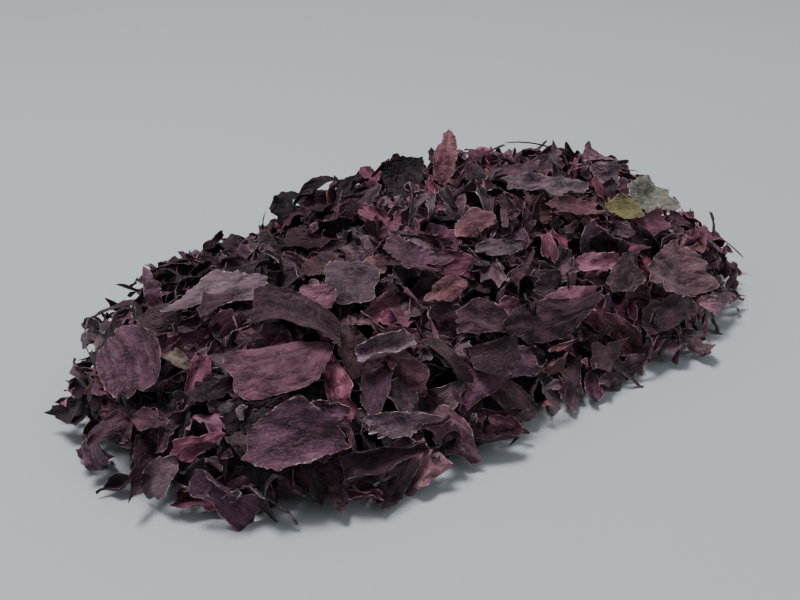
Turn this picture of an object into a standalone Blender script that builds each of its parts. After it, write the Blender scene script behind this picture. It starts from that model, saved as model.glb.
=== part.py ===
"""Dried dulse: a loose heap of torn, crinkled scraps of red seaweed, as tipped onto a table.

A bed of scraps is laid one by one on a low mound and joined with it into one body.
The scraps that show best, on top of the bed, are separate thin blades and stalks.
The heap lies on z = 0, with its long axis on X. Sizes are in millimetres until a mesh is made.
"""

import math
import random
from collections import namedtuple

import bmesh
import bpy
import numpy as np
from mathutils import Matrix, Vector
from mathutils.bvhtree import BVHTree

MM = 0.001

# The heap's outline is a racetrack: every point at one distance from a line on the X axis.
# It is a mound out to its shoulder, which is higher at the left end, and a steep flank beyond.
HALF_LINE = 44.6
SHOULDER = 48.0
FOOT = 57.0
SHOULDER_X = (-82, -52)
SHOULDER_HEIGHT = (19, 13)
FOOT_SLOPE_SHARE = 0.3
CREST_X = (-45, -30, -12, 0, 15, 30, 45)
CREST_HEIGHT = (35, 38, 42, 43, 42, 40, 36)

# The mound under the scraps lies this far below the heap's surface.
CORE_DEPTH = 8.8
CORE_FOOT = 46.0
CORE_AROUND = 28
CORE_RINGS = 10

# The bed's scraps, of which the first few lie in a ring round the foot.
BLADE_THICKNESS = 0.8
BED_SCRAPS = 204
FOOT_SCRAPS = 42
BED_LENGTH = (14.0, 24.0)
BED_WIDTH_SHARE = (0.50, 0.80)
BED_KINDS = ("torn", "torn", "sail", "leaf", "square")
BED_TILT = 17.0
BED_SEED = 10
CANDIDATES = 24
WHOLE_RING = (0.0, 55.0)
FOOT_RING = (46.0, 50.0)
SLOPE_WEIGHT = 0.38
SINK_SHARE = 0.80
STAND_PROUD = 4.0
MOST_PUSHED_DOWN = 5.0
CELL = 1.5
MAP_HALF = (118.0, 76.0)

# The scraps on top lie with this share of their points below the heap's surface, before they settle.
TOP_SINK_SHARE = 0.65
TOP_GAP = 1.4
SETTLE = 2.6
LIFT_STEP = 0.3

COLOURS = {
    "plum": (0.070, 0.036, 0.054),
    "mauve": (0.165, 0.066, 0.098),
    "magenta": (0.125, 0.028, 0.052),
    "red_brown": (0.165, 0.055, 0.055),
    "brown": (0.090, 0.050, 0.046),
    "grey_plum": (0.105, 0.076, 0.090),
    "grey_green": (0.150, 0.160, 0.130),
    "olive": (0.170, 0.140, 0.045),
    "cream": (0.520, 0.440, 0.320),
    "stalk": (0.060, 0.045, 0.048),
}

# One scrap: its place, the way its long axis points, its size, its outline, its bends and its colour.
# pitch lifts its front end and roll its left side, from the slope that it lies on. gutter rolls it up
# across, arch bends it down at both ends, and twist turns one end against the other, all in radians.
Scrap = namedtuple(
    "Scrap", "x y heading length width kind pitch roll gutter arch twist ripple colour seed"
)

# How blunt the rounded outlines are: 2 is an ellipse and a larger number is nearer to a rectangle.
BLUNTNESS = {"round": 2.0, "leaf": 1.3, "strap": 8.0, "square": 5.0}

# name: x, y, heading, length, width, kind, pitch, roll, gutter, arch, twist, ripple, colour
TOP_SCRAPS = {
    "front_apron": (-69, -43, -24, 22, 12, "torn", 0, 0, 0.2, 0.7, 0.1, 0.3, "plum"),
    "front_crumple": (-46, -47, -11, 18, 9, "sail", 0, 4, 0.7, 0.2, 0.3, 0.5, "grey_plum"),
    "front_roll": (-52, -50, -8, 19, 7, "strap", 0, 0, 1.9, 0.3, 0.4, 0.4, "plum"),
    "ruffle": (1, -42, -11, 27, 9, "torn", 0, 8, 0.4, 0.2, -0.2, 0.8, "plum"),
    "front_low": (-17, -46, 4, 13, 8, "lobe", 0, 0, 0.6, 0.2, 0.3, 0.3, "plum"),
    "right_low": (15, -49, -6, 15, 9, "sail", 0, 0, 0.5, 0.2, 0.2, 0.4, "brown"),
    "front_dark": (39, -49, -4, 18, 9, "torn", 0, 0, 0.5, 0.2, 0.2, 0.4, "plum"),
    "dark_wide": (-16, -40, -28, 16, 8, "torn", 0, 6, 0.5, 0.2, 0.2, 0.4, "plum"),
    "round_blade": (-87, -4, -116, 16, 15, "round", -8, -4, 0.25, 0.15, 0.1, 0.2, "plum"),
    "magenta_tail": (-84, -28, -12, 13, 7, "sail", 0, 8, 0.7, -0.3, 0.5, 0.5, "magenta"),
    "pink_curl": (-89, -16, -55, 11, 5, "leaf", 0, 0, 0.9, 0.2, 0.2, 0.4, "mauve"),
    "ragged_wing": (-85, 13, 150, 16, 9, "sail", -6, 22, 0.6, 0.1, 0.4, 0.5, "magenta"),
    "left_tip": (-77, 30, 165, 13, 5, "leaf", 8, 0, 0.5, 0.2, 0.2, 0.2, "plum"),
    "left_upright": (-70, 20, 60, 14, 6, "sail", 60, 0, 0.5, 0.2, 0.3, 0.2, "plum"),
    "left_stalk": (-92, 0, -97, 24, 2.4, "strap", 0, 0, 0.6, 0.4, 0.4, 0.0, "stalk"),
    "brown_flap": (-74, 7, -42, 11, 7, "torn", 0, 26, 0.3, 0.1, 0.2, 0.3, "brown"),
    "dark_fold": (-77, -22, -29, 11, 8, "sail", 0, 8, 1.2, 0.2, 0.3, 0.3, "plum"),
    "under_sail": (-66, -5, -43, 11, 7, "sail", 0, 4, 0.4, 0.2, 0.2, 0.3, "plum"),
    "mauve_lobe": (-62, -27, -19, 22, 12, "lobe", 0, 4, 0.15, 0.1, -0.1, 0.2, "mauve"),
    "plum_sail": (-61, 0, 164, 25, 13, "sail", 0, -10, 0.2, -0.1, 0.15, 0.2, "grey_plum"),
    "long_band": (-56, -21, -62, 25, 8, "strap", 0, 10, 0.3, 0.7, -0.3, 0.2, "grey_plum"),
    "mid_crumple": (-61, -40, -24, 12, 6, "torn", 0, 0, 0.7, 0.3, 0.2, 0.6, "plum"),
    "grey_square": (-37, -17, -40, 12, 11, "square", 3, 10, 0.15, 0.1, 0.05, 0.2, "grey_plum"),
    "pink_patch": (-46, -17, -34, 8, 6, "square", 2, 8, 0.2, 0.2, 0.1, 0.2, "mauve"),
    "cream_scrap": (-79, -11, -70, 7, 3.6, "torn", 0, 0, 0.8, 0.4, 0.6, 0.3, "cream"),
    "curled_pod": (-40, -35, -4, 14, 8, "lobe", 6, 0, 1.7, 0.2, 0.1, 0.2, "grey_plum"),
    "brown_strap": (-28, -41, -79, 15, 4, "strap", 0, 0, 0.7, 0.6, 0.5, 0.2, "brown"),
    "maroon_band": (-49, 22, -85, 13, 5, "strap", 0, 10, 0.5, 0.3, 0.5, 0.3, "magenta"),
    "dark_red_fold": (-36, 6, -59, 17, 8, "sail", 0, 22, 0.6, 0.1, 0.3, 0.4, "magenta"),
    "pink_pair": (-38, -6, -51, 11, 7, "torn", 4, 8, 0.4, 0.5, 0.2, 0.3, "red_brown"),
    "pink_point": (-29, -14, -10, 10, 6, "leaf", 6, 14, 0.3, 0.2, 0.2, 0.3, "red_brown"),
    "fan_fold": (-21, -19, -52, 18, 12, "sail", 5, 8, 0.3, 0.2, 0.2, 0.5, "plum"),
    "ragged_black": (-26, 22, -22, 17, 11, "sail", 12, 32, 0.5, 0.2, 0.4, 0.6, "plum"),
    "dark_curl": (-14, 16, 17, 12, 8, "torn", 16, 10, 1.5, 0.3, 0.3, 0.3, "plum"),
    "purple_blade": (-8, -37, -9, 12, 7, "torn", 0, 6, 0.4, 0.2, 0.2, 0.4, "mauve"),
    "red_point": (-19, -30, 2, 13, 6, "leaf", 0, 12, 0.4, 0.3, 0.3, 0.3, "red_brown"),
    "red_leaf": (1, -16, -7, 13, 7, "torn", 3, 6, 0.3, 0.2, 0.1, 0.3, "red_brown"),
    "magenta_knot": (-12, -23, -24, 10, 7, "torn", 8, 0, 0.9, 0.4, 0.6, 0.6, "magenta"),
    "centre_grey": (3, -24, -7, 17, 8, "sail", 0, 4, 0.5, 0.3, 0.2, 0.5, "grey_plum"),
    "scallop": (12, -39, -10, 16, 8, "torn", 0, 8, 0.5, -0.3, 0.2, 0.6, "mauve"),
    "olive_brown": (30, -41, 15, 13, 9, "torn", 0, 0, 0.4, 0.3, 0.3, 0.3, "brown"),
    "brown_shield": (49, -42, -12, 22, 15, "torn", 0, 2, 0.3, 0.2, 0.1, 0.4, "brown"),
    "canoe_red": (29, -21, -11, 22, 9, "leaf", 0, 4, 1.0, -0.2, 0.1, 0.2, "red_brown"),
    "pink_strip": (27, -34, -15, 13, 5, "square", 0, 8, 0.5, 0.1, 0.1, 0.2, "mauve"),
    "shelf_light": (30, -12, -11, 27, 9, "torn", 0, 12, 0.4, 0.2, 0.2, 0.8, "mauve"),
    "olive_leaf": (47, -24, -8, 11, 8, "torn", 0, 6, 0.3, 0.2, 0.1, 0.3, "olive"),
    "grey_green": (64, -18, -8, 19, 12, "torn", 4, 20, 0.2, 0.1, 0.1, 0.4, "grey_green"),
    "maroon_leaf": (57, -27, 2, 15, 7, "torn", 0, 8, 0.5, 0.2, 0.2, 0.4, "magenta"),
    "magenta_right": (82, -22, -28, 16, 11, "torn", 0, 8, 0.3, 0.3, 0.2, 0.4, "magenta"),
    "plum_ridge": (34, 5, -14, 19, 9, "sail", 6, 16, 0.4, 0.2, 0.2, 0.6, "plum"),
    "plum_square": (57, -8, -8, 9, 7, "square", 10, 44, 0.2, 0.1, 0.1, 0.2, "plum"),
    "red_upright": (7, 3, 35, 16, 7, "leaf", 64, 0, 0.35, 0.1, 0.3, 0.2, "red_brown"),
    "black_sail": (0, 12, 40, 15, 10, "sail", 44, 0, 0.3, 0.1, 0.2, 0.4, "plum"),
    "dark_twig": (21, 5, -30, 15, 2.0, "strap", 26, 0, 0.6, 0.1, 0.2, 0.0, "stalk"),
    "pale_twig": (-24, -23, -47, 13, 1.5, "strap", 6, 0, 0.6, 0.2, 0.2, 0.0, "mauve"),
    "top_twig": (55, 11, -28, 30, 2.0, "strap", -18, 0, 0.6, 0.4, 0.3, 0.0, "stalk"),
    "right_stalk": (88, -28, -35, 16, 2.4, "strap", 10, 0, 0.6, 0.1, 0.1, 0.0, "stalk"),
}
TOP_GRID = (5, 2)
BED_GRID = (2, 1)


def out_from_line(x, y):
    """Distance from the line that the racetrack outline runs round."""
    return np.hypot(np.maximum(np.abs(x) - HALF_LINE, 0.0), y)


def heap_height(x, y):
    """Height of the heap's surface above the table."""
    out = out_from_line(x, y)
    crest = np.interp(x, CREST_X, CREST_HEIGHT)
    shoulder = np.interp(x, SHOULDER_X, SHOULDER_HEIGHT)
    mound = shoulder + (crest - shoulder) * (1.0 - (out / SHOULDER) ** 2)
    flank = shoulder * (FOOT - out) / (FOOT - SHOULDER)
    return np.maximum(np.where(out < SHOULDER, mound, flank), 0.0)


def core_height(x, y):
    """Height of the plain mound that the bed's scraps lie on."""
    share = np.clip(1.0 - (out_from_line(x, y) / CORE_FOOT) ** 4, 0.0, 1.0)
    return np.maximum(heap_height(x, y) - CORE_DEPTH, 1.5) * np.sqrt(share)


def slope(x, y):
    """How steeply scraps lie along X and along Y: as the heap's surface, but flatter at its foot."""
    step = 4.0
    flatter = np.interp(out_from_line(x, y), (SHOULDER, FOOT), (1.0, FOOT_SLOPE_SHARE))
    along = (heap_height(x + step, y) - heap_height(x - step, y)) / (2 * step)
    across = (heap_height(x, y + step) - heap_height(x, y - step)) / (2 * step)
    return flatter * along, flatter * across


def slope_normal(x, y):
    """The way the heap's surface faces at a point."""
    along, across = slope(x, y)
    return Vector((-float(along), -float(across), 1.0)).normalized()


def cornered_rim(turns, reaches, angle):
    """Distance from the middle to a rim of straight tears between corners, at each angle."""
    after = np.searchsorted(turns, angle) % len(turns)
    before = (after - 1) % len(turns)
    gap = (turns[after] - turns[before]) % (2 * math.pi)
    step = (angle - turns[before]) % (2 * math.pi)
    near, far = reaches[before], reaches[after]
    return near * far * np.sin(gap) / (near * np.sin(step) + far * np.sin(gap - step))


def rim_reach(scrap, angle):
    """Distance of a scrap's rim from its middle at each angle: 1 is half its length or half its width."""
    angle = angle % (2 * math.pi)
    if scrap.kind in ("torn", "sail"):
        turns = (0.0, 1.95, 3.2, 4.3) if scrap.kind == "sail" else (0.2, 1.3, 2.4, 3.4, 4.3, 5.5)
        reaches = (1.25, 1.0, 0.85, 1.0) if scrap.kind == "sail" else (1.12,) * 6
        shift = np.sin(12.9898 * scrap.seed + 78.233 * np.arange(2 * len(turns)))
        turns = np.array(turns) + 0.18 * (1.0 + shift[: len(turns)])
        return cornered_rim(turns, np.array(reaches) * (1.0 + 0.13 * shift[len(turns):]), angle)
    blunt = 3.2 - 1.2 * np.cos(angle) if scrap.kind == "lobe" else BLUNTNESS[scrap.kind]
    plain = (np.abs(np.cos(angle)) ** blunt + np.abs(np.sin(angle)) ** blunt) ** (-1.0 / blunt)
    waves = 0.05 * np.sin(3 * angle + scrap.seed) + 0.03 * np.sin(5 * angle + 2.0 * scrap.seed)
    return plain * (1.0 + waves)


def scrap_form(scrap, a, b):
    """Points of a scrap's mid surface in its own frame. a and b, from -1 to 1, cover a square."""
    angle = np.arctan2(b, a)
    reach = np.maximum(np.abs(a), np.abs(b)) * rim_reach(scrap, angle)
    along, across = reach * np.cos(angle), reach * np.sin(angle)
    sway = 0.10 * scrap.width * math.sin(scrap.seed * 0.7) * (1 - along**2)
    roll = max(abs(scrap.gutter), 1e-3)
    radius = 0.5 * scrap.width / roll
    y = radius * np.sin(across * roll) + sway
    z = radius * (1 - np.cos(across * roll))
    z = z + scrap.ripple * across**2 * np.sin(4.2 * along + scrap.seed)
    z = z + 0.4 * scrap.ripple * np.sin(3.1 * along + 2 * across + scrap.seed)
    turn = scrap.twist * along
    y, z = y * np.cos(turn) - z * np.sin(turn), y * np.sin(turn) + z * np.cos(turn)
    bend = scrap.arch if abs(scrap.arch) > 1e-3 else 1e-3
    radius = 0.5 * scrap.length / bend
    return (radius + z) * np.sin(along * bend), y, (radius + z) * np.cos(along * bend) - radius


def scrap_turn(scrap):
    """The 3 by 3 rotation of a scrap: laid on the heap's slope, pointed along its heading, then tilted."""
    up = slope_normal(scrap.x, scrap.y)
    angle = math.radians(scrap.heading)
    ahead = Vector((math.cos(angle), math.sin(angle), 0.0))
    ahead = (ahead - up * ahead.dot(up)).normalized()
    laid = Matrix((ahead, up.cross(ahead), up)).transposed()
    raised = Matrix.Rotation(math.radians(-scrap.pitch), 3, "Y")
    return laid @ raised @ Matrix.Rotation(math.radians(scrap.roll), 3, "X")


def placed_points(scrap, a, b):
    """A scrap's points, turned and moved to its place, at height zero."""
    local = np.stack([np.ravel(c) for c in scrap_form(scrap, a, b)], axis=1)
    return local @ np.array(scrap_turn(scrap)).T + (scrap.x, scrap.y, 0.0)


def square_of_points(along, across):
    return np.meshgrid(np.linspace(-1, 1, along), np.linspace(-1, 1, across), indexing="ij")


def top_scraps():
    """The scraps on top, with the height at which each lies in the heap's surface."""
    tops = []
    for number, (name, values) in enumerate(TOP_SCRAPS.items()):
        scrap = Scrap(*values, seed=1.0 + 1.37 * number)
        points = placed_points(scrap, *square_of_points(13, 7))
        rise = heap_height(points[:, 0], points[:, 1]) - points[:, 2]
        tops.append((name, scrap, float(np.quantile(rise, TOP_SINK_SHARE))))
    return tops


class HeightMap:
    """Heights of what has been laid so far and of what must stay clear above, on square cells."""

    def __init__(self, tops):
        self.shape = tuple(int(2 * half / CELL) for half in MAP_HALF)
        x, y = (np.arange(n) * CELL - half + CELL / 2 for n, half in zip(self.shape, MAP_HALF))
        x, y = np.meshgrid(x, y, indexing="ij")
        self.height = core_height(x, y)
        self.ceiling = heap_height(x, y) + STAND_PROUD
        for _, scrap, lift in tops:
            if out_from_line(scrap.x, scrap.y) < FOOT_RING[0]:
                points = placed_points(scrap, *square_of_points(25, 15))
                np.minimum.at(self.ceiling, self.cells(points), points[:, 2] + lift - TOP_GAP)

    def cells(self, points):
        found = ((points[:, :2] + MAP_HALF) / CELL).astype(int)
        return tuple(np.clip(found[:, i], 0, self.shape[i] - 1) for i in (0, 1))

    def lay(self, points):
        """Rests points on what is below, a share of them sunk in. Returns their lift, or None."""
        cells = self.cells(points)
        rest = float(np.quantile(self.height[cells] - points[:, 2], SINK_SHARE))
        lift = min(rest, float(np.quantile(self.ceiling[cells] - points[:, 2], 0.1)))
        lift = max(lift, BLADE_THICKNESS - float(points[:, 2].min()))
        if lift < rest - MOST_PUSHED_DOWN:
            return None
        np.maximum.at(self.height, cells, points[:, 2] + lift + BLADE_THICKNESS / 2)
        return lift


def lowest_spot(draw, ground, ring=WHOLE_RING):
    """Of a few random places in a ring of the heap, the one that lies lowest below its surface."""
    spots = []
    while len(spots) < CANDIDATES:
        x = draw.uniform(-HALF_LINE - FOOT, HALF_LINE + FOOT)
        y = draw.uniform(-FOOT, FOOT)
        if ring[0] <= out_from_line(x, y) < ring[1]:
            spots.append((x, y))
    near = np.array(spots)
    below = heap_height(near[:, 0], near[:, 1]) - ground.height[ground.cells(near)]
    along, across = slope(near[:, 0], near[:, 1])
    return spots[int(np.argmax(below / (1.0 + along**2 + across**2) ** SLOPE_WEIGHT))]


def bed_scraps(ground):
    """The bed's scraps and their heights: each is laid where the heap is lowest below its surface."""
    draw = random.Random(BED_SEED)
    laid = []
    while len(laid) < BED_SCRAPS:
        x, y = lowest_spot(draw, ground, FOOT_RING if len(laid) < FOOT_SCRAPS else WHOLE_RING)
        length = draw.uniform(*BED_LENGTH)
        scrap = Scrap(
            x, y, draw.uniform(0, 360), length, length * draw.uniform(*BED_WIDTH_SHARE),
            draw.choice(BED_KINDS), draw.gauss(0, BED_TILT), draw.gauss(0, BED_TILT),
            draw.uniform(-0.2, 0.9), draw.uniform(-0.4, 0.6), draw.uniform(-0.4, 0.4),
            draw.uniform(0.2, 0.9), "plum", draw.uniform(0, 20),
        )
        lift = ground.lay(placed_points(scrap, *square_of_points(15, 9)))
        if lift is not None:
            laid.append((scrap, lift))
    return laid


def new_object(name, mesh, colour, collection):
    material = bpy.data.materials.get(colour) or bpy.data.materials.new(colour)
    material.use_nodes = True
    shader = material.node_tree.nodes["Principled BSDF"]
    shader.inputs["Base Color"].default_value = (*COLOURS[colour], 1.0)
    shader.inputs["Roughness"].default_value = 0.5
    shader.inputs["Metallic"].default_value = 0.0
    mesh.materials.clear()
    mesh.materials.append(material)
    made = bpy.data.objects.new(name, mesh)
    collection.objects.link(made)
    return made


def blade_mesh(name, scrap, lift, cells):
    """A thin closed blade: a grid moved to the scrap's form, split into triangles and thickened."""
    shape = bmesh.new()
    bmesh.ops.create_grid(shape, x_segments=cells[0], y_segments=cells[1], size=1.0)
    along = np.array([v.co.x for v in shape.verts])
    across = np.array([v.co.y for v in shape.verts])
    points = placed_points(scrap, along, across) + (0.0, 0.0, lift)
    for vert, point in zip(shape.verts, points):
        vert.co = Vector(point) * MM
    bmesh.ops.triangulate(shape, faces=shape.faces[:])
    bmesh.ops.solidify(shape, geom=shape.faces[:], thickness=BLADE_THICKNESS * MM)
    bmesh.ops.recalc_face_normals(shape, faces=shape.faces[:])
    mesh = bpy.data.meshes.new(name)
    shape.to_mesh(mesh)
    shape.free()
    return mesh


def core_mesh():
    """The mound: a ball whose upper half follows the heap's form and whose lower half is flat."""
    shape = bmesh.new()
    bmesh.ops.create_uvsphere(shape, u_segments=CORE_AROUND, v_segments=CORE_RINGS, radius=1.0)
    for vert in shape.verts:
        around = math.atan2(vert.co.y, vert.co.x)
        from_top = math.acos(max(-1.0, min(1.0, vert.co.z)))
        out = CORE_FOOT * min(from_top, math.pi - from_top) / (math.pi / 2)
        side = max(-1.0, min(1.0, 1.5 * math.cos(around)))
        x = out * math.cos(around) + HALF_LINE * side * min(1.0, out / (0.25 * CORE_FOOT))
        y = out * math.sin(around)
        upper = from_top < math.pi / 2 - 0.01
        vert.co = Vector((x, y, float(core_height(x, y)) if upper else 0.0)) * MM
    mesh = bpy.data.meshes.new("bed")
    bmesh.ops.recalc_face_normals(shape, faces=shape.faces[:])
    shape.to_mesh(mesh)
    shape.free()
    return mesh


def keep_largest_body(mesh):
    """Drops the loose scraps that a union leaves beside its main body."""
    shape = bmesh.new()
    shape.from_mesh(mesh)
    bmesh.ops.triangulate(shape, faces=shape.faces[:])
    unseen, bodies = set(shape.faces), []
    while unseen:
        body, ahead = set(), [unseen.pop()]
        while ahead:
            face = ahead.pop()
            body.add(face)
            for edge in face.edges:
                for other in edge.link_faces:
                    if other in unseen and len(edge.link_faces) == 2:
                        unseen.remove(other)
                        ahead.append(other)
        bodies.append(body)
    largest = max(bodies, key=len)
    bmesh.ops.delete(shape, geom=[f for f in shape.faces if f not in largest], context="FACES")
    shape.to_mesh(mesh)
    shape.free()


def joined_bed(tops, collection):
    """The bed: the mound and all of the bed's scraps, joined into one body."""
    bed = new_object("bed", core_mesh(), "plum", collection)
    repeats = bpy.data.collections.new("bed scraps")
    bpy.context.scene.collection.children.link(repeats)
    for number, (scrap, lift) in enumerate(bed_scraps(HeightMap(tops))):
        new_object(f"scrap_{number}", blade_mesh("scrap", scrap, lift, BED_GRID), "plum", repeats)
    union = bed.modifiers.new("join", "BOOLEAN")
    union.operation = "UNION"
    union.operand_type = "COLLECTION"
    union.collection = repeats
    union.solver = "MANIFOLD"
    joined = bed.evaluated_get(bpy.context.evaluated_depsgraph_get())
    mesh = bpy.data.meshes.new_from_object(joined)
    bed.modifiers.clear()
    bed.data = mesh
    keep_largest_body(mesh)
    for scrap in list(repeats.objects):
        bpy.data.objects.remove(scrap)
    bpy.data.collections.remove(repeats)
    return bed


def tree_of(meshes):
    points, faces = [], []
    for mesh in meshes:
        start = len(points)
        points.extend(v.co.copy() for v in mesh.vertices)
        faces.extend([start + i for i in p.vertices] for p in mesh.polygons)
    return BVHTree.FromPolygons(points, faces)


def is_buried(mesh, ground):
    """Whether a blade has a corner under the skin of what is already laid."""
    for vert in mesh.vertices:
        spot, facing, _, _ = ground.ray_cast(vert.co, Vector((0, 0, 1)))
        if spot is not None and facing.z > 0:
            return True
    return False


def settled_mesh(name, scrap, lift, laid):
    """A blade as low as it goes without touching what is already laid, near the height given."""
    ground = tree_of(laid)
    lift -= SETTLE
    clear_steps = 0
    while clear_steps < 3:
        lift += LIFT_STEP
        raised = blade_mesh(name, scrap, lift, TOP_GRID)
        low = min(v.co.z for v in raised.vertices)
        touching = low < 0 or ground.overlap(tree_of([raised])) or is_buried(raised, ground)
        clear_steps = 0 if touching else clear_steps + 1
        bpy.data.meshes.remove(raised)
    return blade_mesh(name, scrap, lift - LIFT_STEP, TOP_GRID)


def build():
    for old in list(bpy.data.objects):
        bpy.data.objects.remove(old)
    collection = bpy.data.collections.new("dulse")
    bpy.context.scene.collection.children.link(collection)
    tops = top_scraps()
    laid = [joined_bed(tops, collection).data]
    for name, scrap, lift in tops:
        mesh = settled_mesh(name, scrap, lift, laid)
        new_object(name, mesh, scrap.colour, collection)
        laid.append(mesh)


build()
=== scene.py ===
"""Looks of a loose heap of dried dulse: every scrap as a thin, crinkled, torn blade.

The heap's form, its bed and the scraps on top repeat the part's own functions and seeds. Finer scraps
fill the gaps, and ragged ones stand on the ridge. Sizes are in millimetres until a mesh is made, but
in metres for the floor, the lights and the camera.
"""

import math
import random
from collections import namedtuple

import bpy
import numpy as np
from mathutils import Matrix, Vector


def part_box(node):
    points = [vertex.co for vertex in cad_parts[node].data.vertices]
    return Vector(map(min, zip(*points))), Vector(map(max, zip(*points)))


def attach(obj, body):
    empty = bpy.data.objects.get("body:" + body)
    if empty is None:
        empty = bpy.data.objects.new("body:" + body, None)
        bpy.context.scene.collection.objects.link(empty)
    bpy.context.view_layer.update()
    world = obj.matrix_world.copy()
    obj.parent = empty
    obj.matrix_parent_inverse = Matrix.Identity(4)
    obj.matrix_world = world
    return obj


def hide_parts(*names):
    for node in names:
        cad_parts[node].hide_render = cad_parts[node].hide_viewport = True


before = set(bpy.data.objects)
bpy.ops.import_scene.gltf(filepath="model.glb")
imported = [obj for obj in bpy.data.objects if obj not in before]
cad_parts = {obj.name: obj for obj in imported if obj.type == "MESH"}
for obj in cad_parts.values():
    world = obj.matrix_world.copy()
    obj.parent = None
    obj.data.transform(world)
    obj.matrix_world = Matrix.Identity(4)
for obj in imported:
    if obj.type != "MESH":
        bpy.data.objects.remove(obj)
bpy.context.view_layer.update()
MM = 0.001
FULL_TURN = 2 * math.pi

# The heap's outline is a racetrack: every point at one distance from a line on the X axis.
# The heap is a mound out to its shoulder, which is higher at the left end, and a steep flank beyond.
# Slopes are taken between the heights SLOPE_STEP to each side.
HALF_LINE = 44.6
SHOULDER = 48.0
FOOT = 57.0
SHOULDER_X = (-82, -52)
SHOULDER_HEIGHT = (19, 13)
FOOT_SLOPE_SHARE = 0.3
CREST_X = (-45, -30, -12, 0, 15, 30, 45)
CREST_HEIGHT = (35, 38, 42, 43, 42, 40, 36)
SLOPE_STEP = 4.0

# The mound under the scraps: how far it lies below the heap's surface, its foot, its least height
# before it rounds off there, and how late it does.
CORE_DEPTH = 8.8
CORE_FOOT = 46.0
CORE_LOWEST = 1.5
CORE_BLUNTNESS = 4

# The bed's scraps, of which the first FOOT_SCRAPS lie in a ring round the foot.
BLADE_THICKNESS = 0.8
BED_SCRAPS = 204
FOOT_SCRAPS = 42
BED_LENGTH = (14.0, 24.0)
BED_WIDTH_SHARE = (0.50, 0.80)
BED_KINDS = ("torn", "torn", "sail", "leaf", "square")
BED_TILT = 17.0
BED_GUTTER = (-0.2, 0.9)
BED_ARCH = (-0.4, 0.6)
BED_TWIST = (-0.4, 0.4)
BED_RIPPLE = (0.2, 0.9)
BED_SEED = 10
SEEDS = (0, 20)

# A scrap goes to the lowest of CANDIDATES random places in a ring, where slopes count for more. It
# lies with SINK_SHARE of its points above what is below. It is pushed down, but not far, until at
# most CEILING_SHARE of them stand too proud or come through a scrap on top. Cells are square.
CANDIDATES = 24
WHOLE_RING = (0.0, 55.0)
FOOT_RING = (46.0, 50.0)
SLOPE_WEIGHT = 0.38
SINK_SHARE = 0.80
CEILING_SHARE = 0.1
STAND_PROUD = 4.0
MOST_PUSHED_DOWN = 5.0
CELL = 1.5
MAP_HALF = (118.0, 76.0)

# The scraps on top lie with this share of their points above the heap's surface, before they settle,
# and the bed's scraps stay TOP_GAP under them.
TOP_SINK_SHARE = 0.65
TOP_GAP = 1.4

# The points along and across a scrap that tell where it rests and what it covers, and its solid's.
TOP_SAMPLES = (13, 7)
COVER_SAMPLES = (25, 15)
BED_SAMPLES = (15, 9)
DRAWN_SAMPLES = (21, 13)
FILLER_SAMPLES = (11, 7)
SOLID_SAMPLES = (6, 3)

# pitch lifts a scrap's front end and roll its left side, in degrees from the slope that it lies on.
# gutter rolls it up across, arch bends it down at both ends, and twist turns one end against the other,
# in radians.
Scrap = namedtuple(
    "Scrap", "x y heading length width kind pitch roll gutter arch twist ripple colour seed"
)

# The torn outlines: the angle of each corner and its distance from the middle. The seed shifts both.
CORNERS = {
    "torn": ((0.2, 1.3, 2.4, 3.4, 4.3, 5.5), (1.12,) * 6),
    "sail": ((0.0, 1.95, 3.2, 4.3), (1.25, 1.0, 0.85, 1.0)),
}
SHIFT_PER_SEED = 12.9898
SHIFT_PER_CORNER = 78.233
TURN_SHIFT = 0.18
REACH_SHIFT = 0.13

# How blunt the rounded outlines are: 2 is an ellipse and a larger number is nearer to a rectangle.
# A lobe is blunter at its back end than at its front, by twice LOBE_CHANGE.
BLUNTNESS = {"round": 2.0, "leaf": 1.3, "strap": 8.0, "square": 5.0}
LOBE_BLUNTNESS = 3.2
LOBE_CHANGE = 1.2

# The waves in a rounded outline: how deep, how many, and how far the seed shifts them.
RIM_WAVES = ((0.05, 3, 1.0), (0.03, 5, 2.0))

# A scrap's middle sways to one side. It ripples most along its sides, and a little all over.
SWAY = 0.10
SWAY_PER_SEED = 0.7
SIDE_RIPPLE_WAVES = 4.2
SOFT_RIPPLE = 0.4
SOFT_RIPPLE_WAVES = (3.1, 2)
LEAST_BEND = 1e-3

# The seeds of the scraps on top and on the ridge: the first one's, and the step to the next.
TOP_SEEDS = (1.0, 1.37)
RIDGE_SEEDS = (2.0, 1.9)

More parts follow.
